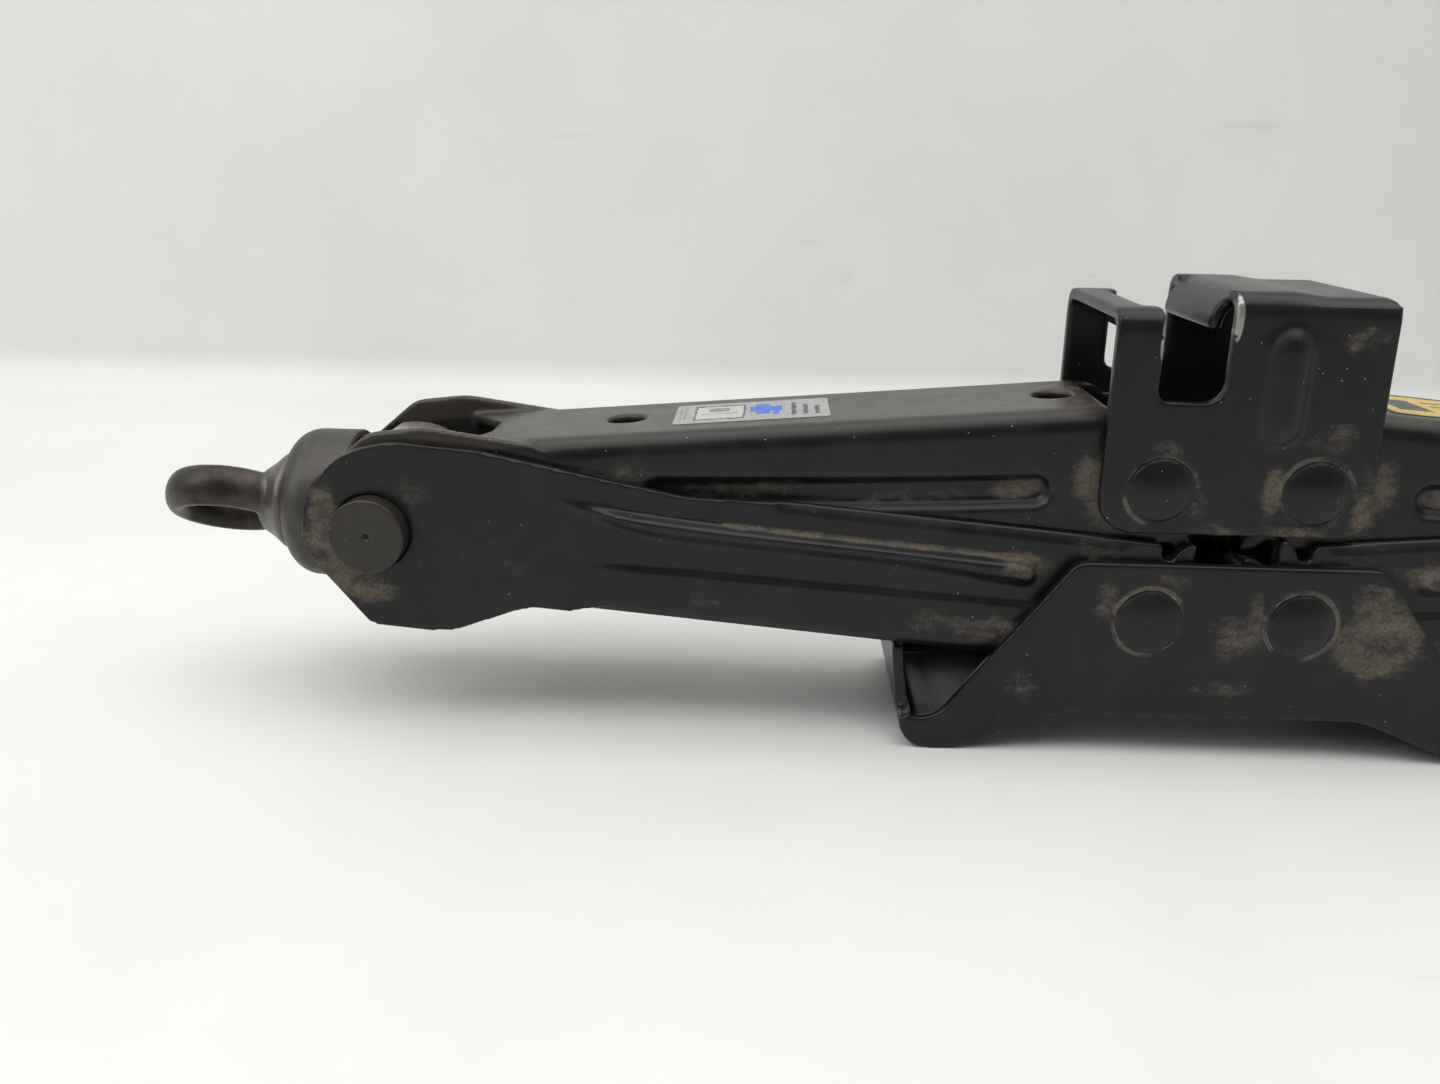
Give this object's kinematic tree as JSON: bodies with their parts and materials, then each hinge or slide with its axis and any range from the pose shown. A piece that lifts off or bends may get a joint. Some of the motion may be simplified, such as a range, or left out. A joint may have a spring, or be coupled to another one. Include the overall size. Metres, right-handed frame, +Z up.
{
  "type": "scissor jack",
  "caption": "Folded car scissor jack: nested pressed-steel arms geared at a base and a slotted saddle, spread by a lead screw with a crank eye.",
  "frame": {"origin": "on the floor under the middle of the base, half way between its two pivot pins", "axes": "+X along the jack towards the nut end, +Y towards the back, +Z up"},
  "size_m": [0.4316, 0.0528, 0.0958],
  "materials": {
    "black_paint": "satin black paint, dusty, worn at the sheet edges",
    "oiled_steel": "bare steel with old grease",
    "screw_steel": "rolled thread, bare steel with old grease",
    "forged_steel": "dark oxidised forged steel, rust brown at the rims",
    "bearing_steel": "ground bearing steel",
    "silver_label": "printed silver film",
    "yellow_label": "printed yellow film"
  },
  "bodies": {
    "base": {"base_bracket": "black_paint", "base_pin_left": "black_paint", "base_pin_right": "black_paint"},
    "lower_left": {"lower_left_arm": "black_paint"},
    "lower_right": {"lower_right_arm": "black_paint"},
    "drive": {"drive_trunnion": "oiled_steel", "thrust_washer_fixed": "bearing_steel"},
    "upper_left": {"upper_left_arm": "black_paint", "rating_label": "silver_label"},
    "saddle": {"saddle_bracket": "black_paint", "saddle_pin_left": "black_paint", "saddle_pin_right": "black_paint"},
    "upper_right": {"upper_right_arm": "black_paint", "caution_label": "yellow_label"},
    "nut": {"nut_trunnion": "oiled_steel"},
    "screw": {"lead_screw": "screw_steel", "drive_eye": "forged_steel", "eye_pin": "bearing_steel", "bearing_cup": "forged_steel", "thrust_washer_turning": "bearing_steel", "thrust_balls": "bearing_steel", "ball_cage": "bearing_steel", "stop_collar": "forged_steel", "stop_pin": "bearing_steel"}
  },
  "joints": [
    {"name": "lift_fold", "type": "hinge", "parent": "base", "child": "lower_left", "pos_m": [-0.0152, 0, 0.03], "axis": [0, 1, 0], "range_deg": [0, 62]},
    {"name": "lower_right_fold", "type": "hinge", "parent": "base", "child": "lower_right", "pos_m": [0.0152, 0, 0.03], "axis": [0, 1, 0], "range_deg": [-62, 0]},
    {"name": "left_elbow_lower", "type": "hinge", "parent": "lower_left", "child": "drive", "pos_m": [-0.17464, 0, 0.04339], "axis": [0, 1, 0], "range_deg": [-62, 0]},
    {"name": "left_elbow_upper", "type": "hinge", "parent": "drive", "child": "upper_left", "pos_m": [-0.17464, 0, 0.04339], "axis": [0, 1, 0], "range_deg": [-62, 0]},
    {"name": "saddle_left_pivot", "type": "hinge", "parent": "upper_left", "child": "saddle", "pos_m": [-0.0152, 0, 0.05678], "axis": [0, 1, 0], "range_deg": [0, 62]},
    {"name": "saddle_right_pivot", "type": "hinge", "parent": "saddle", "child": "upper_right", "pos_m": [0.0152, 0, 0.05678], "axis": [0, 1, 0], "range_deg": [0, 62]},
    {"name": "right_elbow_lower", "type": "hinge", "parent": "lower_right", "child": "nut", "pos_m": [0.17464, 0, 0.04339], "axis": [0, 1, 0], "range_deg": [0, 62]},
    {"name": "screw_turn", "type": "hinge", "parent": "drive", "child": "screw", "pos_m": [-0.17464, 0, 0.04339], "axis": [1, 0, 0], "continuous": true}
  ],
  "couplings": [
    {"joint": "lower_right_fold", "follows": "lift_fold", "ratio": -1},
    {"joint": "left_elbow_lower", "follows": "lift_fold", "ratio": -1},
    {"joint": "left_elbow_upper", "follows": "lift_fold", "ratio": -1},
    {"joint": "saddle_left_pivot", "follows": "lift_fold", "ratio": 1},
    {"joint": "saddle_right_pivot", "follows": "lift_fold", "ratio": 1},
    {"joint": "right_elbow_lower", "follows": "lift_fold", "ratio": 1}
  ]
}
